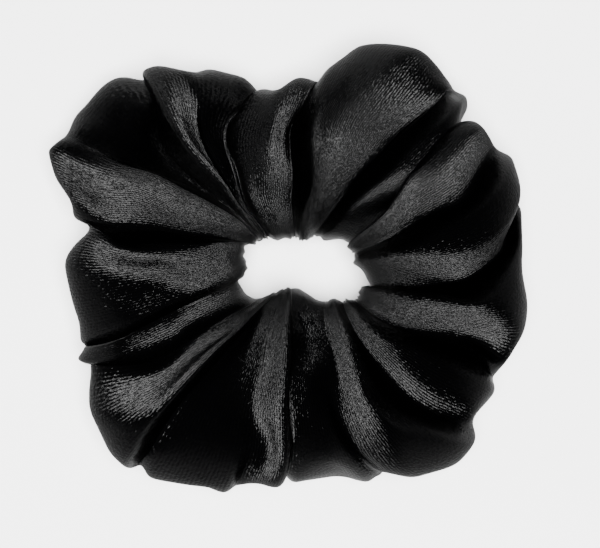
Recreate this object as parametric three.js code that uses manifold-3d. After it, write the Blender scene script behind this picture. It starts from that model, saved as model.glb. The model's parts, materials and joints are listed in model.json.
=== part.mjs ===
// A velvet scrunchie lying flat: a gathered cloth tube closed into a ring, with an elastic band loose in it.
// Millimetres, +Z up. The ring lies in the XY plane and its opening runs along Z. Shapes are laid out about
// the opening's centre, and the last lines move the origin to the middle of the footprint.
// The ring parts at its opening's centre into a left and a right half, which slide apart as the band
// stretches. In the far side (+Y) the cut is where the cloth's cross seam and the elastic's overlapped ends
// really are.
import * as THREE from "three";
import Module from "manifold-3d";
import { ParametricGeometry } from "three/addons/geometries/ParametricGeometry.js";
import { mergeVertices } from "three/addons/utils/BufferGeometryUtils.js";

const wasm = await Module();
wasm.setup();

// ---- Driving dimensions ----

// The opening: a rounded rectangle that the gathers leave.
const OPENING_HALF_WIDTH = 15;
const OPENING_HALF_DEPTH = 8.2;
const OPENING_SQUARENESS = 2.6;

// The outer outline: [angle in degrees, reach from the opening's centre], lobes and the notches between them.
const OUTER_REACH = [
  [0, 52.5], [15, 54.3], [30, 56], [37, 53], [46, 56.4], [60, 58], [75, 53], [86, 46.5], [101, 43],
  [112, 49.5], [124, 58], [138, 64], [147, 64.3], [155, 66.8], [165, 56], [180, 56], [197, 55],
  [211, 60.2], [230, 63.6], [247, 59], [264, 53.5], [279, 52.8], [293, 56], [308, 60.3], [323, 55.8],
  [338, 55], [350, 55],
];

const HEIGHT = 30; // top of the cloth above the surface it lies on
const SECTION_SQUARENESS = 0.85; // below 1 fills the section's corners out
const SINK = 2; // how much of the section's round underside is pressed flat
const GATHERS = 17; // soft gathers round the upper face
const GATHER_DEPTH = 1.6;

const CLOTH = 1.2; // velvet: knitted backing and pile
const SEAM_ANGLE = THREE.MathUtils.degToRad(-47); // of the long seam in the section, from its inner edge
const SEAM_ALLOWANCE = 6;
const SEAM_GAP = 0.6; // between the two edges of the long seam
const CUT_GAP = 0.6; // between the two halves
const CUTTER_SIZE = 400; // of the box that cuts a half: far larger than the scrunchie

const BAND_WIDTH = 6;
const BAND_THICKNESS = 1;
const BAND_PLAY = 1.6; // from the cloth's inner face to the band
const BAND_OVERLAP = 12; // the band's two ends lie on each other for this length
const BAND_LAYER_GAP = 0.6;
const BAND_LAYER_STEP = [0.25, 0.6]; // shares of a half's length between which it leaves the outer layer
const BAND_PAST_CUT = 0.2; // radians that a half reaches past the near cut, before it is cut there
const BAND_LIFT = 1.5; // the band lies this much above the middle of the section

const THREAD = 0.4;
const THREAD_GAP = 0.3; // from a thread to the cloth or band that it is sewn on
const LONG_SEAM_STITCHES = 38;
const LONG_SEAM_DEPTH = 2.6; // of its stitches in the tube
const CROSS_SEAM_X = -4; // its stitches lie left of the opening's centre, beside the cut
const CROSS_SEAM_ANGLES = [20, 232].map(THREE.MathUtils.degToRad); // in the section, from the inner edge
const CROSS_SEAM_STITCHES = 12;
const CLOSING_ANGLES = [184, 252].map(THREE.MathUtils.degToRad); // round the ring
const CLOSING_BESIDE_SEAM = 2;
const CLOSING_STITCHES = 13;
const JOIN_ZIGS = 8;
const JOIN_LENGTH = 8.4; // of the zigzag, in the band's overlap
const JOIN_WIDTH = 3.8;

// Mesh fineness
const RING_STEPS = 84;
const FACE_STEPS = 23;
const THREAD_SIDES = 6;
const SLOPE_STEP = 0.01; // radians in the section, to measure its slope

const TAU = 2 * Math.PI;

// ---- Materials ----

const velvet = new THREE.MeshStandardMaterial({ color: 0x0b0b0c, roughness: 0.95, metalness: 0 });
const elastic = new THREE.MeshStandardMaterial({ color: 0x141416, roughness: 0.8, metalness: 0 });
const thread = new THREE.MeshStandardMaterial({ color: 0x101012, roughness: 0.6, metalness: 0 });

// ---- The ring's outline ----

const signedPower = (value, power) => Math.sign(value) * Math.abs(value) ** power;

// Reach of the opening's edge from its centre, in the direction theta.
function openingReach(theta) {
  const n = OPENING_SQUARENESS;
  const across = Math.abs(Math.cos(theta) / OPENING_HALF_WIDTH) ** n;
  const along = Math.abs(Math.sin(theta) / OPENING_HALF_DEPTH) ** n;
  return (across + along) ** (-1 / n);
}

// Reach of the outer outline: a smooth closed curve through the points of OUTER_REACH.
function outerReach(theta) {
  const degrees = THREE.MathUtils.euclideanModulo(THREE.MathUtils.radToDeg(theta), 360);
  const count = OUTER_REACH.length;
  const past = OUTER_REACH.filter(([angle]) => angle <= degrees).length - 1;
  const at = (i) => {
    const turns = Math.floor(i / count);
    const [angle, reach] = OUTER_REACH[i - turns * count];
    return new THREE.Vector2(angle + 360 * turns, reach);
  };
  const [before, start, end, after] = [past - 1, past, past + 1, past + 2].map(at);
  const span = end.x - start.x;
  const t = (degrees - start.x) / span;
  const startSlope = ((end.y - before.y) / (end.x - before.x)) * span;
  const endSlope = ((after.y - start.y) / (after.x - start.x)) * span;
  return (
    start.y * (2 * t ** 3 - 3 * t ** 2 + 1) +
    startSlope * (t ** 3 - 2 * t ** 2 + t) +
    end.y * (3 * t ** 2 - 2 * t ** 3) +
    endSlope * (t ** 3 - t ** 2)
  );
}

// ---- The section: a flattened round in the plane (reach, z) ----

const SECTION_MIDDLE = (HEIGHT - GATHER_DEPTH - SINK) / 2;
const SECTION_HALF_HEIGHT = SECTION_MIDDLE + SINK;

// A point of the cloth, inset from its outer face. Angle 0 is the inner edge, and pi / 2 the top.
function facePoint(theta, angle, inset = 0) {
  const inner = openingReach(theta);
  const outer = outerReach(theta);
  const halfWidth = (outer - inner) / 2 - inset;
  const halfHeight = SECTION_HALF_HEIGHT - inset;
  const rise = signedPower(Math.sin(angle), SECTION_SQUARENESS);
  const gather = Math.max(0, rise) ** 2 * GATHER_DEPTH * Math.cos(GATHERS * theta);
  return new THREE.Vector2(
    (inner + outer) / 2 - halfWidth * signedPower(Math.cos(angle), SECTION_SQUARENESS),
    Math.max(inset, SECTION_MIDDLE + halfHeight * rise + gather),
  );
}

// The long seam in one section: its middle, and the directions into the tube and along the cloth.
function seamAt(theta) {
  const middle = facePoint(theta, SEAM_ANGLE);
  const before = facePoint(theta, SEAM_ANGLE - SLOPE_STEP);
  const along = facePoint(theta, SEAM_ANGLE + SLOPE_STEP).sub(before).normalize();
  return { middle, along, into: new THREE.Vector2(along.y, -along.x) };
}

// A point beside the seam: how far along the cloth from the seam's middle, and how deep in the tube.
function besideSeam(seam, alongCloth, depth) {
  return seam.middle.clone().addScaledVector(seam.along, alongCloth).addScaledVector(seam.into, depth);
}

// The closed outline of the cut cloth in one section: outer face, allowance, inner face, allowance.
function clothOutline(theta) {
  const seam = seamAt(theta);
  const near = SEAM_GAP / 2;
  const far = near + CLOTH;
  const face = (inset, clear) => {
    const middle = facePoint(theta, SEAM_ANGLE, inset);
    const lengthPerRadian = middle.distanceTo(facePoint(theta, SEAM_ANGLE + SLOPE_STEP, inset)) / SLOPE_STEP;
    const start = SEAM_ANGLE + clear / lengthPerRadian;
    const end = SEAM_ANGLE + TAU - clear / lengthPerRadian;
    return pointsBetween(start, end, FACE_STEPS, (angle) => facePoint(theta, angle, inset));
  };
  return [
    ...face(0, near),
    besideSeam(seam, -near, SEAM_ALLOWANCE),
    besideSeam(seam, -far, SEAM_ALLOWANCE),
    ...face(CLOTH, far).reverse(),
    besideSeam(seam, far, SEAM_ALLOWANCE),
    besideSeam(seam, near, SEAM_ALLOWANCE),
  ];
}

// Evenly spaced values from one to another, each made into a point.
function pointsBetween(from, to, steps, pointAt) {
  return Array.from({ length: steps + 1 }, (_, i) => pointAt(from + ((to - from) * i) / steps, i));
}

// A point (reach, z) of the section at theta, in space.
function place(theta, point, target = new THREE.Vector3()) {
  return target.set(point.x * Math.cos(theta), point.x * Math.sin(theta), point.y);
}

// ---- Shapes ----

function toSolid(geometry) {
  const bare = geometry.clone();
  bare.deleteAttribute("normal");
  bare.deleteAttribute("uv");
  const merged = mergeVertices(bare, 1e-3);
  return new wasm.Manifold(
    new wasm.Mesh({
      numProp: 3,
      vertProperties: merged.attributes.position.array,
      triVerts: new Uint32Array(merged.index.array),
    }),
  );
}

function toGeometry(solid) {
  const { vertProperties, triVerts } = solid.getMesh();
  const geometry = new THREE.BufferGeometry();
  geometry.setAttribute("position", new THREE.BufferAttribute(vertProperties, 3));
  geometry.setIndex(new THREE.BufferAttribute(triVerts, 1));
  geometry.computeVertexNormals();
  return geometry;
}

// The half of a shape that lies left (-1) or right (1) of the cut.
function half(geometry, side) {
  const box = new THREE.BoxGeometry(CUTTER_SIZE, CUTTER_SIZE, CUTTER_SIZE);
  box.translate(side * (CUTTER_SIZE / 2 + CUT_GAP / 2), 0, 0);
  return toGeometry(toSolid(geometry).intersect(toSolid(box)));
}

function clothRing() {
  const outlines = pointsBetween(0, TAU, RING_STEPS, clothOutline);
  const points = outlines[0].length;
  const surface = (v, u, target) => {
    const station = Math.round(u * RING_STEPS);
    const index = Math.round(v * points) % points;
    place((TAU * station) / RING_STEPS, outlines[station][index], target);
  };
  return new ParametricGeometry(surface, points, RING_STEPS);
}

// A strip or thread swept along a list of points.
function swept(points, outline, stepsPerPoint = 1) {
  const path = new THREE.CatmullRomCurve3(points);
  return new THREE.ExtrudeGeometry(outline, {
    steps: (points.length - 1) * stepsPerPoint,
    bevelEnabled: false,
    extrudePath: path,
  });
}

function threadAlong(points, stepsPerPoint = 1) {
  const round = new THREE.Shape().absarc(0, 0, THREAD / 2, 0, TAU);
  const outline = new THREE.Shape(round.getSpacedPoints(THREAD_SIDES).slice(0, THREAD_SIDES));
  return swept(points, outline, stepsPerPoint);
}

// A stitched thread has two points a stitch: where it dips to the cloth, and where it rises between.
const stitchRise = (index) => (index % 2 ? THREAD / 2 : 0);

// The reach of the band's middle line from the opening's centre, on its inner (0) or outer (1) layer.
function bandReach(theta, layer) {
  const toInnerLayer = CLOTH + BAND_PLAY + BAND_THICKNESS / 2;
  return openingReach(theta) + toInnerLayer + layer * (BAND_THICKNESS + BAND_LAYER_GAP);
}

const BAND_MIDDLE = SECTION_MIDDLE + BAND_LIFT;

// One half of the band. Its end overlaps the other half's in the far side: the left on the inner layer.
function bandStrip(side) {
  const overlapAngle = BAND_OVERLAP / 2 / bandReach(Math.PI / 2, 0);
  const start = Math.PI / 2 + side * overlapAngle;
  const end = start - side * (Math.PI + overlapAngle + BAND_PAST_CUT);
  const layerAtStart = side > 0 ? 1 : 0;
  const steps = RING_STEPS / 2;
  const points = pointsBetween(start, end, steps, (theta, i) => {
    const layer = layerAtStart * (1 - THREE.MathUtils.smoothstep(i / steps, ...BAND_LAYER_STEP));
    return place(theta, new THREE.Vector2(bandReach(theta, layer), BAND_MIDDLE));
  });
  const outline = new THREE.Shape();
  outline.moveTo(-BAND_WIDTH / 2, -BAND_THICKNESS / 2);
  outline.lineTo(BAND_WIDTH / 2, -BAND_THICKNESS / 2);
  outline.lineTo(BAND_WIDTH / 2, BAND_THICKNESS / 2);
  outline.lineTo(-BAND_WIDTH / 2, BAND_THICKNESS / 2);
  return swept(points, outline);
}

// A half of the band keeps its overlapping end, and is cut only in the near side.
function bandHalf(side) {
  const cutter = new THREE.BoxGeometry(CUTTER_SIZE, CUTTER_SIZE, CUTTER_SIZE);
  cutter.translate(-side * (CUTTER_SIZE / 2 - CUT_GAP / 2), -CUTTER_SIZE / 2, 0);
  return toGeometry(toSolid(bandStrip(side)).subtract(toSolid(cutter)));
}

// The zigzag that fastens the overlapped ends, on the outer face of one layer.
function joinZigzag(side) {
  const layer = side > 0 ? 1 : 0;
  const offFace = side * (BAND_THICKNESS / 2 + THREAD_GAP + THREAD / 2);
  const halfAngle = JOIN_LENGTH / 2 / bandReach(Math.PI / 2, layer);
  const points = pointsBetween(Math.PI / 2 - halfAngle, Math.PI / 2 + halfAngle, JOIN_ZIGS, (theta, i) => {
    const lift = ((i % 2 ? 1 : -1) * JOIN_WIDTH) / 2;
    return place(theta, new THREE.Vector2(bandReach(theta, layer) + offFace, BAND_MIDDLE + lift));
  });
  return threadAlong(points, 2);
}

// The long seam's thread on one of its two allowances.
function longSeamThread(allowance) {
  const offSeam = SEAM_GAP / 2 + CLOTH + THREAD_GAP + THREAD / 2;
  const points = pointsBetween(-Math.PI / 2, TAU - Math.PI / 2, LONG_SEAM_STITCHES * 2, (theta, i) =>
    place(theta, besideSeam(seamAt(theta), allowance * (offSeam + stitchRise(i)), LONG_SEAM_DEPTH)),
  );
  return threadAlong(points);
}

// The cross seam's thread: it runs round inside the tube, beside the cut in the far side.
function crossSeamThread() {
  const points = pointsBetween(...CROSS_SEAM_ANGLES, CROSS_SEAM_STITCHES * 2, (angle, i) => {
    const inset = CLOTH + THREAD_GAP + THREAD / 2 + stitchRise(i);
    const theta = Math.PI / 2 - CROSS_SEAM_X / facePoint(Math.PI / 2, angle, inset).x;
    return place(theta, facePoint(theta, angle, inset));
  });
  return threadAlong(points);
}

// The closing stitches, outside the tube: a short row along the long seam where it was left open for turning.
function closingThread() {
  const points = pointsBetween(...CLOSING_ANGLES, CLOSING_STITCHES * 2, (theta, i) => {
    const outside = THREAD_GAP + THREAD / 2 + stitchRise(i);
    return place(theta, besideSeam(seamAt(theta), CLOSING_BESIDE_SEAM, -outside));
  });
  return threadAlong(points);
}

// ---- The scrunchie ----

const scrunchie = new THREE.Group();

function add(name, geometry, material) {
  const mesh = new THREE.Mesh(geometry, material);
  mesh.name = name;
  scrunchie.add(mesh);
}

const ring = clothRing();
for (const [word, side] of [["left", -1], ["right", 1]]) {
  add(`velvet_sleeve_${word}`, half(ring, side), velvet);
  add(`elastic_band_${word}`, bandHalf(side), elastic);
  add(`elastic_join_thread_${word}`, joinZigzag(side), thread);
  add(`long_seam_needle_thread_${word}`, half(longSeamThread(1), side), thread);
  add(`long_seam_bobbin_thread_${word}`, half(longSeamThread(-1), side), thread);
}
add("cross_seam_thread", crossSeamThread(), thread);
add("closing_thread", closingThread(), thread);

// The origin is the middle of the scrunchie's footprint.
ring.computeBoundingBox();
const footprint = ring.boundingBox.getCenter(new THREE.Vector3());
scrunchie.position.set(-footprint.x, -footprint.y, 0);

export default scrunchie;
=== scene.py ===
"""A black velvet scrunchie, lying flat: a gathered sleeve of ribbed velvet over an elastic band.

The sleeve is one cut of cloth. Its folds are laid out one crease at a time, on the tube that the CAD
sleeve describes, and a short cloth simulation then settles them. Lengths here are in millimetres until a mesh
is made, and the frame is in metres.
"""
import json
import math

import bpy
import numpy as np
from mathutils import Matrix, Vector


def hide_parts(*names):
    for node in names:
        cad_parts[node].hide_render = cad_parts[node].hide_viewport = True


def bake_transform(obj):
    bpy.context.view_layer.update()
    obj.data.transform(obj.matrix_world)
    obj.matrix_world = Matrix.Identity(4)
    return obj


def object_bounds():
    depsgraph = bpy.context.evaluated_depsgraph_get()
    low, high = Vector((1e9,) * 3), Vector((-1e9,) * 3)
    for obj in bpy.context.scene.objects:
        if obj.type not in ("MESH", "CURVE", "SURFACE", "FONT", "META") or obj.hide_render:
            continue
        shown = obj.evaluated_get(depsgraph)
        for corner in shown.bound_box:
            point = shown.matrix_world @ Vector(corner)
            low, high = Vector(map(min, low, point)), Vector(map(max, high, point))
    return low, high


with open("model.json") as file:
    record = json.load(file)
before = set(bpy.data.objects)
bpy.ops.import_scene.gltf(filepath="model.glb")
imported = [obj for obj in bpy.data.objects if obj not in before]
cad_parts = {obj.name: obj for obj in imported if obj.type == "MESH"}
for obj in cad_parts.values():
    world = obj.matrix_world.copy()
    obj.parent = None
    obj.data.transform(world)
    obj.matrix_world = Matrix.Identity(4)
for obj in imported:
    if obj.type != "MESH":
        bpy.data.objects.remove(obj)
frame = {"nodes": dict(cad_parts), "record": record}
cad_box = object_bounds()

MM = 0.001
TAU = 2 * math.pi

# ---- The cut of cloth ----
CLOTH_WIDTH = 120.0  # round the tube, with both allowances
CLOTH_LENGTH = 450.0  # along the tube
ALLOWANCE = 6.0
RIB_PITCH = 0.78

# ---- The pile: it lies along the cloth, so slopes that face one way round the ring shine ----
PILE_COLOUR = (0.00015, 0.00015, 0.00017)
PILE_ROUGHNESS = 0.36
PILE_ANISOTROPY = 1.0
PILE_ACROSS = 0.25  # turns: the highlight is drawn out across the pile
PILE_SPECULAR = 0.045
NAP_LEAN = 0.87  # how far the shading normal leans along the cloth
NAP_OUTWARD = 0.15  # and across it, which lights outward slopes a little more
NAP_RUFFLE = 0.3  # the lean varies this much over patches of the ruffle's size
RUFFLE_SIZE = 5.0
NAP_SPECKLE = 0.8  # and this much over grains of the speckle's size
SPECKLE_SIZE = 0.65
RIB_HEIGHT = 0.035
RIB_WANDER = 0.5
WANDER_SIZE = 4.0
GRAIN_HEIGHT = 0.35
GRAIN_SIZE = 0.6

# ---- The surfaces of the elastic and the thread ----
ELASTIC_LOOK = (0.012, 0.7)  # grey and roughness
THREAD_LOOK = (0.015, 0.45)
BLUE_TINT = 1.05
BRAID_PITCH = 0.9
BRAID_HEIGHT = 0.05
PLY_PITCH = 0.5
PLY_SLANT = 0.2
PLY_HEIGHT = 0.03
SOFT_SPECULAR = 0.3

# ---- Simulation ----
SIM_SCALE = 10  # the cloth solver works better on a larger cloth
FRAMES = 12
SOLVER_QUALITY = 5
CLOTH_MASS = 0.3
PRESSURE = 0.06
GROWTH = 0.06  # the cloth is this much larger than it was laid out
TENSION = 15
SHEAR = 5
BENDING = 8
DAMPING = 5
BENDING_DAMPING = 0.5
AIR_DAMPING = 2
GRAVITY_SHARE = 0.1
CLOTH_GAP = 0.006  # metres, at the simulation's scale
TABLE_GAP = 0.004
TABLE_SIZE = 6
PIN_STIFFNESS = 0.3
HOLD_TOP = 0.08
HOLD_INNER = 0.9
HOLD_UNDER = 0.4
HOLD_OUTER = 0.25
FURTHEST_MOVE = 8.0
SETTLED_BLUR = 0.6
NORMAL_BLUR = 1.5
OUTLINE_STEP = 3  # degrees
OUTLINE_BLUR = 1  # steps

# ---- Mesh fineness ----
RING_COLUMNS = 372
LEAST_COLUMNS = 8  # in one puff
EVEN_SHARE = 0.35  # of a puff's columns are evenly spaced, and the others crowd towards its creases
SECTION_ROWS = 62
LENGTH_SAMPLES = 40
SECTION_SAMPLES = 2001

# ---- Seams ----
LONG_SEAM_AT = math.radians(313)  # round the section, on the underside next to the opening
CROSS_SEAM_CREASE = 4
SEAM_GAP = 0.3
FLOOR_ROOM = 0.3
SEAM_SINK = 0.5
ALLOWANCE_COLUMNS = (2, 4, 6, 8)
ALLOWANCE_ROWS = (1, 2, 3)
UPPER_PLY = 0.2
LOWER_PLY = 0.4
ON_TOP = 0.5  # rows whose sine is above this lie on the tube's top

# ---- Small gathers, beside the opening and underneath ----
GATHER_COLUMNS = 7.5  # columns in one gather
GATHER_DRIFT = 14  # how much their spacing wanders
GATHER_VARIETY = 1.5  # how much their size wanders
GATHER_SIZES = (0.3, 1.6)  # and its limits
GATHER_BLUR = 6  # columns
GATHER_SEED = 5
GATHER_INNER = 1.8
INNER_FOCUS = 4  # a higher power keeps the gathers to a narrower strip
GATHER_BELOW = math.radians(50)  # the inner gathers are strongest this far under the opening's edge
GATHER_UNDER = 3.8
UNDER_FOCUS = 1.2

# ---- Thread ----
THREAD = 0.4
THREAD_SIDES = 8
UPRIGHT = 0.2  # sine of its angle to the vertical, below which a thread's ring is set out from +X instead
STITCH = 2.5
STITCH_POINTS = 8
STITCH_SWING = 0.15
BOBBIN_SWING = 0.05
NEEDLE_LIFT = -0.8  # off the velvet's face: under both turned-in plies
BOBBIN_LIFT = -0.1
BESIDE_LONG_SEAM = 0.35  # rows
BESIDE_CROSS_SEAM = 0.8  # columns
CLOSING_FROM, CLOSING_TO = 184, 252  # degrees round the ring
CLOSING_STITCHES = 13
CLOSING_REACH = 0.45  # rows to each side of the long seam
CLOSING_LIFTS = (0.1, 0.2)
CLOSING_TURN = (0.5, 0.6)  # shares of a step and of the reach, where the thread turns back

# ---- Elastic ----
BAND_WIDTH = 6.0
BAND_THICKNESS = 1.0
BAND_HEIGHT = 14.7
BAND_CLEARANCE = 1.0
BAND_STEPS = 300
BAND_RIBS = 5
RIB_STEPS = 8
RIB_GROOVE = 0.12  # of half the thickness
EDGE_ROUNDING = 0.06  # of the width
FAR_SIDE = 90.0  # degrees round the ring, where the ends lap
BAND_OVERLAP = 12.0
LAP_GAP = 0.15
LAP_CLIMB = (1.3, 0.6)  # how many laps before the far side the outer end starts to climb, and for how long
WALL_STEP = 5  # degrees
WALL_WINDOW = 6  # degrees to each side
WALL_INNER = 6.0  # points this far inside the tube's middle are its inner wall
WALL_LEVEL = 1.0  # points this much above and below the band still touch it
WALL_BLUR = 1.2  # steps
JOIN_ZIGS = 8
JOIN_STEPS = 6  # in each half zigzag
JOIN_LENGTH = 8.4
JOIN_WIDTH = 3.8
JOIN_LIFT = 0.02

# ---- The section: a flattened round in the plane (reach, z) ----
SECTION_SQUARENESS = 0.72
SINK = 2.0  # how much of the round underside is pressed flat
CROWN_ROOM = 2.0  # the CAD box stands this much above the middle crest line
REACH_STEP = 5  # degrees
INNER_BLUR = 2  # degrees
OUTER_BLUR = 1.5
STATION_BLUR = 10
MIDDLING_SECTION = math.radians(20)  # round the ring

# ---- The puffs between the creases ----
SLOPES_AT_MOST = 0.96  # of a puff's width
STEEPEST = 0.6  # a crease is no deeper than its depth at this share of the puff's width
OVERLAP_DEPTH = 6.0  # a puff overlaps by the stated length where its crease is this deep
LIFT_FULLNESS = 1.2  # above 1 spreads a puff's lift over more of its top
LIFT_UNDER = -0.3  # of the lift, on the underside

# ---- The creases, in order round the ring ----
# Angles in degrees about the opening's centre, and depths in mm, at the section's stations: the opening's
# edge, the inner slope, the crest, the outer slope, the outer edge and the underside. Then the widths in mm of
# the steep slope on the clockwise side and the long slope on the anticlockwise side, how far up the long slope
# is at its steepest (1 is the middle, more is higher), and how far the clockwise puff lies over the other one.
STATIONS = np.radians([0, 60, 90, 120, 180, 270])
CREASES = [
    # angles                          depths                        steep  long  bend  overlap
    ((341, 347, 353, 361, 379, 358), (1.5, 5.0, 6.5, 6.0, 1.5, 1.5), 4.0, 7.0, 0.9, 0.0),
    ((370, 376, 381, 387, 391, 382), (0.5, 3.5, 5.0, 5.5, 1.5, 1.0), 4.5, 6.5, 1.0, 0.0),
    ((378, 389, 397, 401, 399, 392), (1.5, 3.5, 4.2, 4.2, 3.0, 1.5), 2.0, 5.0, 1.0, 1.0),
    ((424, 419, 415, 411, 409, 414), (0.8, 8.0, 11.5, 10.5, 1.0, 1.5), 4.0, 12.5, 0.95, 0.0),
    ((464, 459, 453, 449, 444, 453), (0.5, 5.5, 6.2, 6.2, 1.5, 1.5), 6.0, 7.0, 1.0, 0.0),
    ((504, 496, 483, 472, 462, 480), (1.5, 4.0, 4.6, 4.6, 3.5, 2.0), 2.5, 3.0, 1.0, 2.0),
    ((506, 497, 490, 482, 478, 487), (0.5, 2.5, 3.5, 3.5, 2.0, 1.0), 3.0, 9.5, 1.0, 0.0),
    ((510, 502, 499, 493, 490, 496), (1.0, 3.0, 4.5, 4.5, 1.5, 1.5), 2.0, 4.0, 1.0, 1.5),
    ((513, 505, 506, 510, 512, 507), (0.5, 4.0, 9.0, 9.5, 3.0, 1.5), 7.0, 15.0, 1.0, 0.0),
    ((516, 526, 530, 532, 530, 528), (1.5, 5.5, 7.0, 6.5, 3.0, 2.0), 3.0, 11.0, 0.9, 0.5),
    ((556, 560, 562, 563, 561, 560), (1.0, 4.0, 5.0, 3.0, 1.0, 1.0), 2.5, 5.5, 1.0, 1.0),
    ((584, 579, 574, 570, 564, 573), (0.5, 3.0, 4.5, 5.0, 3.0, 1.0), 3.0, 12.0, 1.1, 0.0),
    ((589, 589, 589, 590, 592, 589), (1.5, 3.0, 3.2, 3.2, 1.5, 1.5), 2.0, 4.0, 1.0, 1.5),
    ((597, 603, 611, 615, 614, 610), (1.0, 3.5, 4.5, 4.5, 2.0, 1.0), 3.0, 10.5, 1.2, 0.0),
    ((600, 621, 625, 627, 625, 619), (0.6, 3.0, 3.4, 3.4, 2.0, 1.5), 1.8, 4.0, 1.0, 2.0),
    ((665, 650, 646, 647, 651, 652), (1.0, 3.0, 5.0, 6.0, 1.5, 1.0), 4.0, 9.0, 1.0, 0.0),
    ((680, 668, 667, 673, 678, 674), (1.2, 3.5, 4.8, 4.0, 0.5, 1.0), 3.0, 5.0, 1.0, 0.0),
    ((685, 683, 691, 691, 690, 687), (0.8, 3.5, 7.5, 7.0, 1.5, 1.0), 4.0, 12.0, 1.1, 0.0),
]
# How high each puff stands over the mean crest line, in mm: the one after crease 0 first.
LIFTS = [
    -0.3, 3.3, -3.2, 2.0, -2.0, -3.5, 2.5, -3.5, 0.8, 0.0, -2.0, 2.5, -3.2, 2.5, -3.4, 0.0, -1.8, 0.5,
]

# How far the opening's edge stands off the CAD sleeve's, in mm: [degrees, out from the centre].
OPENING_EDGE = [
    (0, -2.6), (30, -2.6), (55, -2.6), (75, -3.6), (90, -2.8), (110, -3.2), (150, -2.2), (185, -2.6),
    (207, 1.5), (218, 1.6), (234, -2.6), (250, -3.0), (270, -2.0), (310, 0.6), (328, 2.2), (345, 0.8),
]
# The tube's top leans towards the opening on the left, which leaves a broad outer slope there.
LEAN_MEAN = 2.2
LEAN_SWING = 2.8
LEAN_TOWARDS = math.radians(190)

# ---- Stage and camera, in metres ----
FLOOR_SIZE = 4
FLOOR_COLOUR = (0.3, 0.3, 0.3)
FLOOR_ROUGHNESS = 0.8
WORLD_STRENGTH = 0.04
LAMP_SIZE = 0.5
LAMPS = {"key": ((0.05, -0.12, 1.0), 177), "side": ((-0.9, 0.15, 0.4), 16)}
LENS = 100
SENSOR_WIDTH = 36
CAMERA_AIM = (0.00298, -0.00131, 0.013)
CAMERA_TILT = math.radians(2)
CAMERA_DISTANCE = 0.396


def smooth_round(values, sigma):
    """A Gaussian blur along the last axis, which closes on itself. sigma is in samples."""
    count = values.shape[-1]
    frequency = np.fft.rfftfreq(count)
    kernel = np.exp(-2 * (math.pi * frequency * sigma) ** 2)
    return np.fft.irfft(np.fft.rfft(values, axis=-1) * kernel, count, axis=-1)


def signed_power(value, power):
    return np.sign(value) * np.abs(value) ** power


# ---- The tube, from the CAD sleeve ----

OPENING = next(m for m in frame["record"]["mounts"] if m["name"] == "hair_opening")
CENTRE = np.array(OPENING["pos_m"][:2]) / MM


def cad_reaches(samples=360):
    """The reach of the CAD sleeve's inner and outer edge from the opening's centre, every degree."""
    points = np.array(
        [v.co for side in ("left", "right") for v in frame["nodes"][f"velvet_sleeve_{side}"].data.vertices]
    )
    flat = points[:, :2] / MM - CENTRE
    angle = np.degrees(np.arctan2(flat[:, 1], flat[:, 0])) % 360
    reach = np.hypot(flat[:, 0], flat[:, 1])
    middles = np.arange(0, 360, REACH_STEP)
    gap = np.abs((angle[None, :] - middles[:, None] + 180) % 360 - 180)
    near = gap <= REACH_STEP / 2
    inner = np.array([reach[row].min() for row in near])
    outer = np.array([reach[row].max() for row in near])
    degrees = np.arange(samples) * 360 / samples
    inner = np.interp(degrees, middles, inner, period=360)
    outer = np.interp(degrees, middles, outer, period=360)
    edge = np.array(OPENING_EDGE)
    inner = inner + np.interp(degrees, edge[:, 0], edge[:, 1], period=360)
    return smooth_round(inner, INNER_BLUR), smooth_round(outer, OUTER_BLUR)


INNER, OUTER = cad_reaches()
TOP = cad_box[1].z / MM
SECTION_MIDDLE = (TOP - CROWN_ROOM - SINK) / 2
SECTION_HALF_HEIGHT = SECTION_MIDDLE + SINK


def reach_at(table, theta):
    return np.interp(np.degrees(theta) % 360, np.arange(len(table)), table, period=len(table))


def tube_point(theta, phi, lift):
    """The reach and height of a point lifted off the tube's face, at two angles: round the ring and section."""
    inner = reach_at(INNER, theta)
    outer = reach_at(OUTER, theta)
    half_width = (outer - inner) / 2
    cosine = signed_power(np.cos(phi), SECTION_SQUARENESS)
    sine = signed_power(np.sin(phi), SECTION_SQUARENESS)
    normal_r = -cosine / half_width
    normal_z = sine / SECTION_HALF_HEIGHT
    length = np.hypot(normal_r, normal_z)
    lean = LEAN_MEAN + LEAN_SWING * np.cos(theta - LEAN_TOWARDS)
    reach = (inner + outer) / 2 - half_width * cosine + lift * normal_r / length
    reach = reach - lean * np.clip(np.sin(phi), 0, 1) ** 2
    height = SECTION_MIDDLE + SECTION_HALF_HEIGHT * sine + lift * normal_z / length
    return reach, height


def even_angles(rows):
    """Angles round the section that are evenly spaced along the cloth of a middling section."""
    fine = np.linspace(0, TAU, SECTION_SAMPLES)
    reach, height = tube_point(np.full_like(fine, MIDDLING_SECTION), fine, 0)
    length = np.concatenate([[0], np.cumsum(np.hypot(np.diff(reach), np.diff(np.maximum(height, 0))))])
    return np.interp(np.arange(rows) / rows * length[-1], length, fine)


PHI = even_angles(SECTION_ROWS)
LONG_SEAM_ROW = int(np.argmin(np.abs(PHI - LONG_SEAM_AT)))


def round_section(values):
    """Values at the stations, spread smoothly round the whole section, one for each row."""
    fine = np.radians(np.arange(360))
    spread = np.interp(fine, STATIONS, values, period=TAU)
    return np.interp(PHI, fine, smooth_round(spread, STATION_BLUR), period=TAU)


def slope(distance, width, bend):
    """1 at the crease, falling smoothly to 0 at the end of the slope."""
    t = np.clip(distance / width, 0, 1) ** bend
    return 1 - t * t * (3 - 2 * t)


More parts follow.
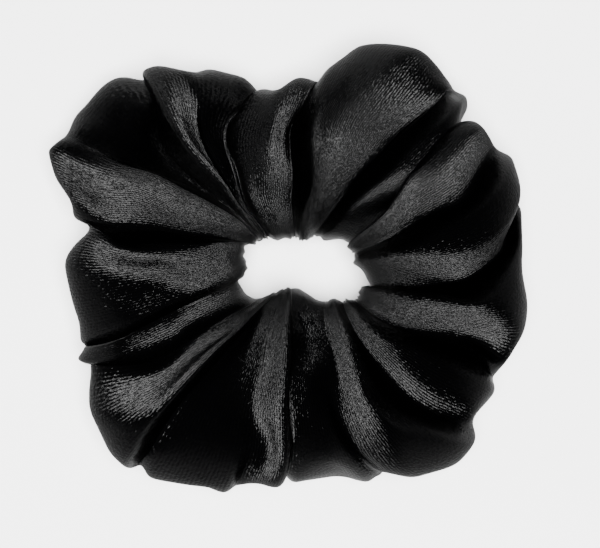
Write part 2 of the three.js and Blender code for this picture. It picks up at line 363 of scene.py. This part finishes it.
def sleeve_grid():
    """Points of the closed tube as [column, row, xyz], which starts at the cross seam's crease."""
    angles = np.radians([round_section(c[0]) for c in CREASES])
    depths = np.array([round_section(c[1]) for c in CREASES])
    count = len(CREASES)
    puffs = []
    for k in range(count):
        following = (k + 1) % count
        start = angles[k]
        end = angles[following] + (TAU if following == 0 else 0)
        lift = LIFTS[k] * np.clip(LIFT_FULLNESS * np.sin(PHI), LIFT_UNDER, 1)
        puffs.append(puff(start, end, depths[k], depths[following], CREASES[k], CREASES[following], lift))
    samples = np.linspace(0, 1, LENGTH_SAMPLES)
    lengths = np.array([column_steps(points(samples)).sum() for points in puffs])
    columns = np.maximum(LEAST_COLUMNS, np.round(RING_COLUMNS * lengths / lengths.sum()).astype(int))
    grids = []
    for points, number in zip(puffs, columns):
        even = np.arange(number) / number
        crowded = (1 - EVEN_SHARE) * (1 - np.cos(math.pi * even)) / 2
        grids.append(points(EVEN_SHARE * even + crowded))
    return np.roll(np.concatenate(grids), -columns[:CROSS_SEAM_CREASE].sum(), axis=0)


def column_steps(points):
    """The mean distance from each column to the next."""
    return np.linalg.norm(np.diff(points, axis=0), axis=2).mean(axis=1)


def puff(start, end, depth_a, depth_b, crease_a, crease_b, lift):
    """The cloth between two creases: a function from shares of its width to points [share, row, xyz]."""
    middle_reach, _ = tube_point((start + end) / 2, PHI, 0)
    width = (end - start) * middle_reach
    long_a, bend_a = crease_a[3], crease_a[4]
    steep_b, overlap_b = crease_b[2], crease_b[5]
    fit = np.minimum(1, SLOPES_AT_MOST * width / (long_a + steep_b))
    long_a, steep_b = long_a * fit, steep_b * fit
    shallow = np.minimum(1, STEEPEST * width / np.maximum(depth_a, depth_b))

    def points(share):
        s = share[:, None]
        from_a = s * width
        from_b = (1 - s) * width
        fall_a = slope(from_a, long_a, bend_a)
        fall_b = slope(from_b, steep_b, 1)
        height = lift - (depth_a + lift) * fall_a - (depth_b + lift) * fall_b
        height = height * shallow
        bulge_b = np.sin(math.pi * np.clip(from_b / steep_b / 2, 0, 1))
        shift = overlap_b * bulge_b * depth_b / OVERLAP_DEPTH
        theta = start + s * (end - start)
        phi = np.broadcast_to(PHI, theta.shape)
        reach, z = tube_point(theta, phi, height)
        theta = theta + shift / reach
        z = np.maximum(z, 0)
        return np.stack([reach * np.cos(theta) + CENTRE[0], reach * np.sin(theta) + CENTRE[1], z], axis=-1)

    return points


# ---- Meshes ----


def grid_mesh(name, points, wrap_columns=False, wrap_rows=False, caps=False, uv=None, kept=None):
    """A mesh of quads on a grid of points [column, row, xyz] in mm. kept says which points it has."""
    columns, rows = points.shape[:2]
    index = np.arange(columns * rows).reshape(columns, rows)
    across = np.concatenate([index, index[:1]]) if wrap_columns else index
    across = np.concatenate([across, across[:, :1]], axis=1) if wrap_rows else across
    quads = np.stack([across[:-1, :-1], across[1:, :-1], across[1:, 1:], across[:-1, 1:]], axis=-1)
    quads = quads.reshape(-1, 4)
    used = np.ones(columns * rows, bool) if kept is None else kept.reshape(-1)
    quads = quads[used[quads].all(axis=1)]
    number = np.cumsum(used) - 1
    faces = number[quads].tolist()
    if caps:
        faces += [index[0].tolist(), index[-1][::-1].tolist()]
    mesh = bpy.data.meshes.new(name)
    mesh.from_pydata((points.reshape(-1, 3)[used] * MM).tolist(), [], faces)
    if uv is not None:
        layer = mesh.uv_layers.new(name="cloth")
        loops = np.zeros(len(mesh.loops), int)
        mesh.loops.foreach_get("vertex_index", loops)
        layer.data.foreach_set("uv", uv.reshape(-1, 2)[used][loops].ravel())
    mesh.shade_smooth()
    obj = bpy.data.objects.new(name, mesh)
    bpy.context.scene.collection.objects.link(obj)
    return obj


def hold_strength():
    """How firmly each row is held where it was laid out: firmly by the elastic, and hardly at all on top."""
    inner = np.clip(np.cos(PHI), 0, 1) ** 2
    under = np.clip(-np.sin(PHI), 0, 1) ** 2
    outer = np.clip(-np.cos(PHI), 0, 1) ** 4
    return np.clip(HOLD_TOP + HOLD_INNER * inner + HOLD_UNDER * under + HOLD_OUTER * outer, 0, 1)


def settle(points):
    """Runs the closed tube as cloth a little larger than it was laid out, and gives its points back."""
    obj = grid_mesh("settling_cloth", points * SIM_SCALE, wrap_columns=True, wrap_rows=True)
    columns, rows = points.shape[:2]
    held = obj.vertex_groups.new(name="held")
    for row, strength in enumerate(hold_strength()):
        held.add([column * rows + row for column in range(columns)], float(strength), "REPLACE")
    modifier = obj.modifiers.new("cloth", "CLOTH")
    cloth = modifier.settings
    cloth.quality = SOLVER_QUALITY
    cloth.mass = CLOTH_MASS
    cloth.air_damping = AIR_DAMPING
    cloth.tension_stiffness = cloth.compression_stiffness = TENSION
    cloth.shear_stiffness = SHEAR
    cloth.bending_stiffness = BENDING
    cloth.tension_damping = cloth.compression_damping = cloth.shear_damping = DAMPING
    cloth.bending_damping = BENDING_DAMPING
    cloth.shrink_min = -GROWTH
    cloth.use_pressure = True
    cloth.uniform_pressure_force = PRESSURE
    cloth.vertex_group_mass = "held"
    cloth.pin_stiffness = PIN_STIFFNESS
    cloth.effector_weights.gravity = GRAVITY_SHARE
    modifier.collision_settings.distance_min = CLOTH_GAP
    bpy.ops.mesh.primitive_plane_add(size=TABLE_SIZE)
    table = bpy.context.object
    table.modifiers.new("collision", "COLLISION")
    table.collision.thickness_outer = TABLE_GAP
    scene = bpy.context.scene
    scene.frame_start, scene.frame_end = 1, FRAMES
    modifier.point_cache.frame_start, modifier.point_cache.frame_end = 1, FRAMES
    for number in range(1, FRAMES + 1):
        scene.frame_set(number)
    settled = obj.evaluated_get(bpy.context.evaluated_depsgraph_get()).data
    moved = np.zeros(len(settled.vertices) * 3)
    settled.vertices.foreach_get("co", moved)
    bpy.data.objects.remove(obj)
    bpy.data.objects.remove(table)
    scene.frame_set(1)
    moved = moved.reshape(points.shape) / MM / SIM_SCALE
    step = moved - points
    length = np.linalg.norm(step, axis=-1, keepdims=True)
    return points + step * np.minimum(1, FURTHEST_MOVE / np.maximum(length, 1e-6))


def fit_outline(points):
    """Brings the settled ring's outer edge and top back to the CAD sleeve's."""
    flat = points[..., :2] - CENTRE
    theta = np.arctan2(flat[..., 1], flat[..., 0])
    reach = np.hypot(flat[..., 0], flat[..., 1])
    outermost = reach.argmax(axis=1)
    column = np.arange(len(points))
    degrees = np.degrees(theta[column, outermost]) % 360
    farthest = reach[column, outermost]
    bins = np.arange(0, 360, OUTLINE_STEP)
    gap = np.abs((degrees[None, :] - bins[:, None] + 180) % 360 - 180)
    actual = np.array([farthest[row <= OUTLINE_STEP].max() for row in gap])
    actual = smooth_round(actual, OUTLINE_BLUR)
    wanted = reach_at(OUTER, np.radians(bins))
    ratio = np.interp(np.degrees(theta) % 360, bins, wanted / actual, period=360)
    inner = reach_at(INNER, theta)
    outer_share = np.clip((reach - inner) / (reach_at(OUTER, theta) - inner), 0, 1)
    scale = 1 + (ratio - 1) * outer_share
    fitted = points.copy()
    fitted[..., :2] = flat * scale[..., None] + CENTRE
    fitted[..., 2] = np.maximum(points[..., 2], 0)
    fitted[..., 2] *= min(1, TOP / fitted[..., 2].max())
    return fitted


def unit(vectors):
    return vectors / np.maximum(np.linalg.norm(vectors, axis=-1, keepdims=True), 1e-9)


def smooth_grid(values, sigma):
    """A Gaussian blur over the columns and the rows of the closed tube. sigma is in columns and rows."""
    for axis in (0, 1):
        values = np.moveaxis(smooth_round(np.moveaxis(values, axis, -1), sigma), -1, axis)
    return values


def outward_normals(points):
    """Unit normals of the closed tube, facing out, smoothed so that no crumple turns one over."""
    along = np.roll(points, -1, axis=0) - np.roll(points, 1, axis=0)
    across = np.roll(points, -1, axis=1) - np.roll(points, 1, axis=1)
    return unit(smooth_grid(unit(np.cross(across, along)), NORMAL_BLUR))


def gather(points):
    """Small gathers where the elastic draws the cloth in: beside the opening, and on the underside."""
    columns = len(points)
    wobble = np.random.default_rng(GATHER_SEED).normal(size=(2, columns))
    phase = TAU * np.round(columns / GATHER_COLUMNS) * np.arange(columns) / columns
    phase = phase + GATHER_DRIFT * smooth_round(wobble[0], GATHER_BLUR)
    size = np.clip(1 + GATHER_VARIETY * smooth_round(wobble[1], GATHER_BLUR), *GATHER_SIZES)
    inner = np.clip(np.cos(PHI + GATHER_BELOW), 0, 1) ** INNER_FOCUS
    under = np.clip(-np.sin(PHI), 0, 1) ** UNDER_FOCUS
    strength = np.maximum(GATHER_INNER * inner, GATHER_UNDER * under)
    height = -(0.5 + 0.5 * np.sin(phase))[:, None] * size[:, None] * strength
    return points + height[..., None] * outward_normals(points)


def finished_tube():
    """The closed tube as it lies. Its first column is at the cross seam, and its first row at the long seam."""
    grid = sleeve_grid()
    grid = fit_outline(smooth_grid(settle(grid), SETTLED_BLUR))
    grid = gather(grid)
    grid = np.roll(grid, -LONG_SEAM_ROW, axis=1)
    normal = outward_normals(grid)
    grid[0] -= SEAM_SINK * normal[0]
    grid[:, 0] -= SEAM_SINK * normal[:, 0]
    grid[..., 2] = np.maximum(grid[..., 2], FLOOR_ROOM)
    return grid


class Surface:
    """The closed tube, for placing what follows it: columns and rows may be fractions."""

    def __init__(self, grid):
        self.grid = grid
        self.normal = outward_normals(grid)
        flat = grid[:, 0, :2] - CENTRE
        self.degrees = np.degrees(np.unwrap(np.arctan2(flat[:, 1], flat[:, 0])))
        self.band_angles, self.band_reaches = band_reaches(grid)

    def at(self, column, row, lift=0.0):
        """The point at a column and a row, lifted off the face by lift mm."""
        columns, rows = self.grid.shape[:2]
        whole_c, whole_r = int(math.floor(column)), int(math.floor(row))
        part_c, part_r = column - whole_c, row - whole_r
        total = np.zeros(3)
        for step_c, weight_c in ((0, 1 - part_c), (1, part_c)):
            for step_r, weight_r in ((0, 1 - part_r), (1, part_r)):
                c, r = (whole_c + step_c) % columns, (whole_r + step_r) % rows
                total += weight_c * weight_r * (self.grid[c, r] + lift * self.normal[c, r])
        return total

    def band_reach(self, angle):
        """The reach of the elastic's inner face at an angle round the ring, in degrees."""
        return float(np.interp(angle % 360, self.band_angles, self.band_reaches, period=360))

    def column_of(self, angle):
        """The column where the long seam is at this angle round the ring, in degrees."""
        turned = (angle - self.degrees[0]) % 360 + self.degrees[0]
        return float(np.interp(turned, self.degrees, np.arange(len(self.degrees))))


def opened_at_seams(grid):
    """The tube's points with the first column and row again at the end, and a gap where the edges meet."""
    opened = np.concatenate([grid, grid[:1]])
    opened = np.concatenate([opened, opened[:, :1]], axis=1)
    along = unit(grid[1] - grid[-1])
    along = np.concatenate([along, along[:1]])
    across = unit(grid[:, 1] - grid[:, -1])
    across = np.concatenate([across, across[:1]])
    half = SEAM_GAP / 2
    opened[0] += half * along
    opened[-1] -= half * along
    opened[:, 0] += half * across
    opened[:, -1] -= half * across
    return opened


def with_allowances(opened, surface):
    """The opened tube with its seam allowances turned in along the inside, one ply on the other."""
    grid, normal = surface.grid, surface.normal
    columns, rows = opened.shape[:2]
    extra_c, extra_r = len(ALLOWANCE_COLUMNS), len(ALLOWANCE_ROWS)
    points = np.zeros((columns + 2 * extra_c, rows + 2 * extra_r, 3))
    points[extra_c:-extra_c, extra_r:-extra_r] = opened
    for k, step in enumerate(ALLOWANCE_COLUMNS):
        upper = grid[step] - UPPER_PLY * normal[step]
        lower = grid[step] - LOWER_PLY * normal[step]
        points[extra_c - 1 - k, extra_r:-extra_r] = np.concatenate([upper, upper[:1]])
        points[extra_c + columns + k, extra_r:-extra_r] = np.concatenate([lower, lower[:1]])
    for k, step in enumerate(ALLOWANCE_ROWS):
        upper = grid[:, step] - UPPER_PLY * normal[:, step]
        lower = grid[:, step] - LOWER_PLY * normal[:, step]
        points[extra_c:-extra_c, extra_r - 1 - k] = np.concatenate([upper, upper[:1]])
        points[extra_c:-extra_c, extra_r + rows + k] = np.concatenate([lower, lower[:1]])
    points[..., 2] = np.maximum(points[..., 2], FLOOR_ROOM)
    return points


def places_on_cloth(lengths, cut, steps):
    """Places in mm along one side of the flat cut, for lengths along the tube and for both allowances."""
    hem = ALLOWANCE * (1 + np.arange(steps)) / steps
    laid = (cut - 2 * ALLOWANCE) * lengths / lengths[-1]
    return np.concatenate([-hem[::-1], laid, laid[-1] + hem]) + ALLOWANCE


def between_allowances(count, steps):
    """Which of the points along one side aren't in an allowance."""
    number = np.arange(count)
    return (number >= steps) & (number < count - steps)


def sleeve_with_seams(surface):
    """The sleeve as one open sheet, whose edges meet at both seams and turn in."""
    grid = surface.grid
    points = with_allowances(opened_at_seams(grid), surface)
    top_rows = np.roll(np.sin(PHI) > ON_TOP, -LONG_SEAM_ROW)
    steps = column_steps(np.concatenate([grid, grid[:1]])[:, top_rows])
    length = np.concatenate([[0], np.cumsum(steps)])
    extra_c, extra_r = len(ALLOWANCE_COLUMNS), len(ALLOWANCE_ROWS)
    place_c = places_on_cloth(length, CLOTH_LENGTH, extra_c)
    place_r = places_on_cloth(np.arange(grid.shape[1] + 1), CLOTH_WIDTH, extra_r)
    uv = np.stack(np.meshgrid(place_c, place_r, indexing="ij"), axis=-1) / CLOTH_WIDTH
    in_c = between_allowances(points.shape[0], extra_c)
    in_r = between_allowances(points.shape[1], extra_r)
    kept = in_c[:, None] | in_r[None, :]  # the corners of the allowances are clipped off
    obj = grid_mesh("velvet_sleeve", points, uv=uv, kept=kept)
    fine = obj.modifiers.new("fine", "SUBSURF")
    fine.levels = fine.render_levels = 1
    return obj


def band_reaches(grid):
    """The reach of the elastic's inner face every few degrees: just outside the sleeve's inner wall."""
    points = grid.reshape(-1, 3)
    flat = points[:, :2] - CENTRE
    degrees = np.degrees(np.arctan2(flat[:, 1], flat[:, 0])) % 360
    reach = np.hypot(flat[:, 0], flat[:, 1])
    middle = (reach_at(INNER, np.radians(degrees)) + reach_at(OUTER, np.radians(degrees))) / 2
    level = np.abs(points[:, 2] - BAND_HEIGHT) < BAND_WIDTH / 2 + WALL_LEVEL
    wall = level & (reach < middle - WALL_INNER)
    bins = np.arange(0, 360, WALL_STEP)
    gap = np.abs((degrees[None, :] - bins[:, None] + 180) % 360 - 180)
    farthest = np.array([reach[row & wall].max() for row in gap < WALL_WINDOW])
    return bins, smooth_round(farthest, WALL_BLUR) + LOWER_PLY + BAND_CLEARANCE


def elastic_path(surface, share, outward=0.0):
    """A point on the elastic's middle, or outward of it. share runs from 0 at its inner end to 1."""
    lap = math.degrees(BAND_OVERLAP / surface.band_reach(FAR_SIDE))
    angle = FAR_SIDE - lap / 2 + share * (360 + lap)
    base = surface.band_reach(angle)
    before, length = LAP_CLIMB
    climb = np.clip((angle - (FAR_SIDE + 360 - before * lap)) / (length * lap), 0, 1)
    step_out = (BAND_THICKNESS + LAP_GAP) * climb * climb * (3 - 2 * climb)
    reach = base + BAND_THICKNESS / 2 + step_out + outward
    turn = math.radians(angle)
    return np.array([CENTRE[0] + reach * math.cos(turn), CENTRE[1] + reach * math.sin(turn), BAND_HEIGHT])


def elastic_band(surface):
    """A flat braided elastic with ribs along it, one end of which laps outside the other."""
    shares = np.linspace(0, 1, BAND_STEPS)
    inner = np.array([elastic_path(surface, s, -BAND_THICKNESS / 2) for s in shares])
    outer = np.array([elastic_path(surface, s, BAND_THICKNESS / 2) for s in shares])
    across = np.linspace(-0.5, 0.5, RIB_STEPS * BAND_RIBS + 1)
    grooves = RIB_GROOVE * np.abs(np.cos(math.pi * BAND_RIBS * (across + 0.5)))
    rounding = np.sqrt(np.clip((0.5 - np.abs(across)) / EDGE_ROUNDING, 0, 1))
    depth = (1 - grooves) * rounding
    rows = []
    for place, deep in list(zip(across, depth)) + list(zip(across[::-1], -depth[::-1])):
        blend = 0.5 + 0.5 * deep
        point = inner * (1 - blend) + outer * blend
        point[:, 2] = BAND_HEIGHT + place * BAND_WIDTH
        rows.append(point)
    points = np.stack(rows, axis=1)
    return grid_mesh("elastic_band", points, wrap_rows=True, caps=True, uv=ribbon_uv(points))


def ribbon_uv(points):
    """Millimetres along and round a long piece."""
    along = np.concatenate([[0], np.cumsum(column_steps(points))])
    round_it = np.linspace(0, BAND_WIDTH * 2, points.shape[1])
    return np.stack(np.meshgrid(along, round_it, indexing="ij"), axis=-1)


def thread(name, path):
    """A thread along a path in mm, as a closed tube."""
    path = np.array(path)
    path[:, 2] = np.maximum(path[:, 2], FLOOR_ROOM)
    direction = unit(np.gradient(path, axis=0))
    side = np.cross(direction, [0, 0, 1.0])
    upright = np.linalg.norm(side, axis=1) < UPRIGHT
    side[upright] = np.cross(direction[upright], [1.0, 0, 0])
    side = unit(side)
    for k in range(1, len(side)):
        side[k] = unit(side[k - 1] - direction[k] * side[k - 1].dot(direction[k]))
    up = np.cross(side, direction)
    turn = TAU * np.arange(THREAD_SIDES) / THREAD_SIDES
    ring = np.cos(turn)[None, :, None] * side[:, None] + np.sin(turn)[None, :, None] * up[:, None]
    points = path[:, None] + THREAD / 2 * ring
    return grid_mesh(name, points, wrap_rows=True, caps=True, uv=ribbon_uv(points))


def sewn_line(place, first, last, length, lift, swing=STITCH_SWING):
    """Running stitches: the thread rises and falls once in each. place(step, lift) is beside the seam."""
    count = round(length / STITCH) * STITCH_POINTS
    path = []
    for k in range(count + 1):
        rise = swing * math.sin(TAU * k / STITCH_POINTS)
        path.append(place(first + (last - first) * k / count, lift + rise))
    return path


def line_length(points):
    return np.linalg.norm(np.diff(points, axis=0), axis=1).sum()


def sew(surface):
    """Both threads of the long seam and the thread of the cross seam, which lie inside the tube."""
    grid = surface.grid
    columns, rows = grid.shape[:2]

    def beside_long_seam(column, lift):
        return surface.at(column, BESIDE_LONG_SEAM, lift)

    def beside_cross_seam(row, lift):
        return surface.at(BESIDE_CROSS_SEAM, row, lift)

    long_seam = line_length(np.concatenate([grid[:, 0], grid[:1, 0]]))
    needle = sewn_line(beside_long_seam, 1, columns - 1, long_seam, NEEDLE_LIFT)
    bobbin = sewn_line(beside_long_seam, 1, columns - 1, long_seam, BOBBIN_LIFT, BOBBIN_SWING)
    cross = sewn_line(beside_cross_seam, 2, rows - 2, line_length(grid[0]), NEEDLE_LIFT)
    return (
        thread("long_seam_needle_thread", needle),
        thread("long_seam_bobbin_thread", bobbin),
        thread("cross_seam_stitching", cross),
    )


def closing_thread(surface):
    """The hand stitches over the long seam, where the tube was turned right side out."""
    first, last = surface.column_of(CLOSING_FROM), surface.column_of(CLOSING_TO)
    low, high = CLOSING_LIFTS
    step_share, reach_share = CLOSING_TURN
    corners = 4 * CLOSING_STITCHES
    step = (last - first) / corners
    path = []
    for k in range(corners + 1):
        place = first + step * k
        over = CLOSING_REACH if k % 4 in (1, 2) else -CLOSING_REACH
        path.append(surface.at(place, over, low))
        path.append(surface.at(place + step_share * step, over * reach_share, high))
    return thread("closing_stitching", path)


def join_thread(surface):
    """The zigzag that sews the elastic's lapped ends together."""
    total = TAU * surface.band_reach(FAR_SIDE) + BAND_OVERLAP
    middle = 1 - BAND_OVERLAP / 2 / total
    path = []
    for k in range(JOIN_ZIGS * 2 * JOIN_STEPS + 1):
        zig = k / JOIN_STEPS
        share = middle + (zig / (2 * JOIN_ZIGS) - 0.5) * JOIN_LENGTH / total
        point = elastic_path(surface, share, BAND_THICKNESS / 2 + THREAD / 2 + JOIN_LIFT)
        swing = abs((zig % 2) - 1) - 0.5
        point[2] += swing * JOIN_WIDTH
        path.append(point)
    return thread("elastic_join_thread", path)


# ---- Materials ----


def fill_inputs(tree, node, values):
    """Each value is a number, a vector or the output to link."""
    for socket, value in zip(node.inputs, values):
        if isinstance(value, (int, float, tuple)):
            socket.default_value = value
        else:
            tree.links.new(value, socket)


def math_node(tree, operation, *values):
    node = tree.nodes.new("ShaderNodeMath")
    node.operation = operation
    fill_inputs(tree, node, values)
    return node.outputs["Value"]


def vector_node(tree, operation, *values):
    node = tree.nodes.new("ShaderNodeVectorMath")
    node.operation = operation
    fill_inputs(tree, node, values)
    return node.outputs["Vector"]


def noise_node(tree, vector, size, detail=2.0):
    """Noise from 0 to 1 whose blobs are about size across, in the vector's own units."""
    node = tree.nodes.new("ShaderNodeTexNoise")
    node.inputs["Scale"].default_value = 1 / size
    node.inputs["Detail"].default_value = detail
    tree.links.new(vector, node.inputs["Vector"])
    return node.outputs["Fac"]


def wave(tree, place, pitch):
    """A sine of a place in mm, which repeats after the pitch."""
    return math_node(tree, "SINE", math_node(tree, "MULTIPLY", place, TAU / pitch))


def split_place(tree, place):
    """The two parts of a place on the cloth, or on a long piece: along it, and across it."""
    split = tree.nodes.new("ShaderNodeSeparateXYZ")
    tree.links.new(place, split.inputs["Vector"])
    return split.outputs["X"], split.outputs["Y"]


def map_place(tree):
    uv = tree.nodes.new("ShaderNodeUVMap")
    uv.uv_map = "cloth"
    return uv.outputs["UV"]


def velvet_height(tree, place):
    """Fine ribs across the cloth, which wander a little, and the pile's grain."""
    along, _ = split_place(tree, place)
    wander = math_node(tree, "MULTIPLY", noise_node(tree, place, WANDER_SIZE), RIB_WANDER)
    rib = wave(tree, math_node(tree, "ADD", along, wander), RIB_PITCH)
    grain = noise_node(tree, place, GRAIN_SIZE)
    return math_node(tree, "MULTIPLY_ADD", grain, GRAIN_HEIGHT, math_node(tree, "MULTIPLY", rib, RIB_HEIGHT))


def nap_normal(tree, place, face, tangent):
    """The shading normal of a pile that lies along the cloth, and is a little ruffled."""
    mean_lean = NAP_LEAN - NAP_RUFFLE / 2 - NAP_SPECKLE / 2
    ruffle = noise_node(tree, place, RUFFLE_SIZE, detail=3.0)
    speckle = noise_node(tree, place, SPECKLE_SIZE, detail=1.0)
    lean = math_node(tree, "MULTIPLY_ADD", ruffle, NAP_RUFFLE, mean_lean)
    lean = math_node(tree, "MULTIPLY_ADD", speckle, NAP_SPECKLE, lean)
    across = vector_node(tree, "CROSS_PRODUCT", face, tangent)
    outward = vector_node(tree, "MULTIPLY_ADD", across, (NAP_OUTWARD, NAP_OUTWARD, NAP_OUTWARD), face)
    return vector_node(tree, "NORMALIZE", vector_node(tree, "MULTIPLY_ADD", tangent, lean, outward))


def velvet_material():
    material = bpy.data.materials.new("velvet")
    material.use_nodes = True
    tree = material.node_tree
    shader = tree.nodes["Principled BSDF"]
    shader.inputs["Base Color"].default_value = (*PILE_COLOUR, 1)
    shader.inputs["Roughness"].default_value = PILE_ROUGHNESS
    shader.inputs["Specular IOR Level"].default_value = PILE_SPECULAR
    shader.inputs["Anisotropic"].default_value = PILE_ANISOTROPY
    shader.inputs["Anisotropic Rotation"].default_value = PILE_ACROSS
    place = vector_node(tree, "MULTIPLY", map_place(tree), (CLOTH_WIDTH, CLOTH_WIDTH, CLOTH_WIDTH))
    bump = tree.nodes.new("ShaderNodeBump")
    bump.inputs["Distance"].default_value = MM
    tree.links.new(velvet_height(tree, place), bump.inputs["Height"])
    tangent = tree.nodes.new("ShaderNodeTangent")
    tangent.direction_type = "UV_MAP"
    tangent.uv_map = "cloth"
    normal = nap_normal(tree, place, bump.outputs["Normal"], tangent.outputs["Tangent"])
    tree.links.new(tangent.outputs["Tangent"], shader.inputs["Tangent"])
    tree.links.new(normal, shader.inputs["Normal"])
    return material


def soft_black(name, grey, roughness, relief):
    """A matt black. relief gives its height in mm, from the places along and round a long piece."""
    material = bpy.data.materials.new(name)
    material.use_nodes = True
    tree = material.node_tree
    shader = tree.nodes["Principled BSDF"]
    shader.inputs["Base Color"].default_value = (grey, grey, grey * BLUE_TINT, 1)
    shader.inputs["Roughness"].default_value = roughness
    shader.inputs["Specular IOR Level"].default_value = SOFT_SPECULAR
    along, round_it = split_place(tree, map_place(tree))
    bump = tree.nodes.new("ShaderNodeBump")
    bump.inputs["Distance"].default_value = MM
    tree.links.new(relief(tree, along, round_it), bump.inputs["Height"])
    tree.links.new(bump.outputs["Normal"], shader.inputs["Normal"])
    return material


def braid_relief(tree, along, round_it):
    """Yarns that cross at a slant."""
    first = wave(tree, math_node(tree, "ADD", along, round_it), BRAID_PITCH)
    second = wave(tree, math_node(tree, "SUBTRACT", along, round_it), BRAID_PITCH)
    return math_node(tree, "MULTIPLY", math_node(tree, "MAXIMUM", first, second), BRAID_HEIGHT)


def ply_relief(tree, along, round_it):
    """The plies of a twisted thread."""
    twist = math_node(tree, "MULTIPLY_ADD", round_it, PLY_SLANT, along)
    return math_node(tree, "MULTIPLY", wave(tree, twist, PLY_PITCH), PLY_HEIGHT)


def floor_material():
    material = bpy.data.materials.new("floor")
    material.use_nodes = True
    shader = material.node_tree.nodes["Principled BSDF"]
    shader.inputs["Base Color"].default_value = (*FLOOR_COLOUR, 1)
    shader.inputs["Roughness"].default_value = FLOOR_ROUGHNESS
    return material


# ---- Stage ----


def make_stage():
    bpy.ops.mesh.primitive_plane_add(size=FLOOR_SIZE)
    floor = bpy.context.object
    floor.name = "floor"
    floor.data.materials.append(floor_material())
    world = bpy.data.worlds.new("studio")
    bpy.context.scene.world = world
    world.use_nodes = True
    background = world.node_tree.nodes["Background"]
    background.inputs["Color"].default_value = (1, 1, 1, 1)
    background.inputs["Strength"].default_value = WORLD_STRENGTH
    for name, (place, energy) in LAMPS.items():
        soft_box(name, place, energy)


def soft_box(name, place, energy):
    """A square light that points at the object."""
    light = bpy.data.lights.new(name, "AREA")
    light.energy = energy
    light.size = LAMP_SIZE
    lamp = bpy.data.objects.new(name, light)
    bpy.context.scene.collection.objects.link(lamp)
    lamp.location = place
    lamp.rotation_mode = "QUATERNION"
    lamp.rotation_quaternion = (-lamp.location).to_track_quat("-Z", "Y")


def make_camera():
    data = bpy.data.cameras.new("camera")
    data.lens = LENS
    data.sensor_width = SENSOR_WIDTH
    camera = bpy.data.objects.new("camera", data)
    bpy.context.scene.collection.objects.link(camera)
    bpy.context.scene.camera = camera
    aim = Vector(CAMERA_AIM)
    camera.location = aim + CAMERA_DISTANCE * Vector((0, -math.sin(CAMERA_TILT), math.cos(CAMERA_TILT)))
    camera.rotation_mode = "QUATERNION"
    camera.rotation_quaternion = (aim - camera.location).to_track_quat("-Z", "Y")


# ---- The scene ----


make_stage()
make_camera()
tube = Surface(finished_tube())
sleeve = sleeve_with_seams(tube)
needle, bobbin, cross = sew(tube)
closing = closing_thread(tube)
band = elastic_band(tube)
join = join_thread(tube)

velvet = velvet_material()
elastic = soft_black("braided_elastic", *ELASTIC_LOOK, braid_relief)
polyester = soft_black("sewing_thread", *THREAD_LOOK, ply_relief)
for piece, material, slot, nodes in (
    (sleeve, velvet, "velvet", ("velvet_sleeve_left", "velvet_sleeve_right")),
    (band, elastic, "elastic", ("elastic_band_left", "elastic_band_right")),
    (join, polyester, "thread", ("elastic_join_thread_left", "elastic_join_thread_right")),
    (needle, polyester, "thread", ("long_seam_needle_thread_left", "long_seam_needle_thread_right")),
    (bobbin, polyester, "thread", ("long_seam_bobbin_thread_left", "long_seam_bobbin_thread_right")),
    (cross, polyester, "thread", ("cross_seam_thread",)),
    (closing, polyester, "thread", ("closing_thread",)),
):
    piece.data.materials.append(material)
    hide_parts(*nodes)
    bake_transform(piece)
